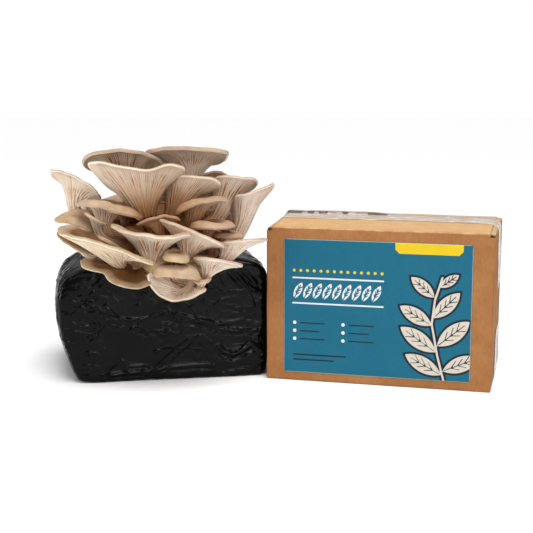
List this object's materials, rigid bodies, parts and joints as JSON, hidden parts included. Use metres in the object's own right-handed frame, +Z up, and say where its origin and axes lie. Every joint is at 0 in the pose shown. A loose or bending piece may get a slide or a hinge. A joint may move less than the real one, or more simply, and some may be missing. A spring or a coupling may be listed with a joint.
{
  "type": "oyster mushroom grow kit",
  "caption": "Film-wrapped growing block with a cluster of oyster mushrooms fruiting over its front edge, beside its taped corrugated carton with a coloured label.",
  "frame": {"origin": "on the floor, under the middle of the outline of the block and the carton standing side by side", "axes": "+Z up, +X along the pair from the block towards the carton, -Y towards the viewer"},
  "size_m": [0.4664, 0.2044, 0.2269],
  "materials": {
    "mushroom": "matte natural flesh, gilled below, smooth tan above",
    "cluster_base": "matte lumpy flesh",
    "bag_film": "crinkled soft black film",
    "carton_board": "matte kraft corrugated board",
    "label": "satin printed paper",
    "clear_tape": "clear glossy packing tape"
  },
  "bodies": {
    "root": {"mushroom_top_left": "mushroom", "mushroom_top_front": "mushroom", "mushroom_top_right": "mushroom", "mushroom_centre_fan": "mushroom", "mushroom_centre_cap": "mushroom", "mushroom_right_high": "mushroom", "mushroom_right_fan": "mushroom", "mushroom_left_fan": "mushroom", "mushroom_left_cap": "mushroom", "mushroom_left_small": "mushroom", "mushroom_left_long": "mushroom", "mushroom_low_left": "mushroom", "mushroom_low_front": "mushroom", "mushroom_centre_small": "mushroom", "mushroom_centre_low": "mushroom", "mushroom_right_cap": "mushroom", "mushroom_right_small": "mushroom", "mushroom_right_low": "mushroom", "mushroom_front_small": "mushroom", "mushroom_low_right": "mushroom", "mushroom_front_cap": "mushroom", "mushroom_lowest": "mushroom", "mushroom_low_droop": "mushroom", "mushroom_left_under": "mushroom", "mushroom_front_tip": "mushroom", "mushroom_right_behind": "mushroom", "mushroom_back_left": "mushroom", "mushroom_back_middle": "mushroom", "mushroom_back_right": "mushroom", "mushroom_back_low": "mushroom", "mushroom_inner": "mushroom", "cluster_base": "cluster_base", "bag": "bag_film", "carton": "carton_board", "label": "label", "tape": "clear_tape", "tape_tab_left": "clear_tape", "tape_tab_right": "clear_tape"}
  },
  "joints": []
}
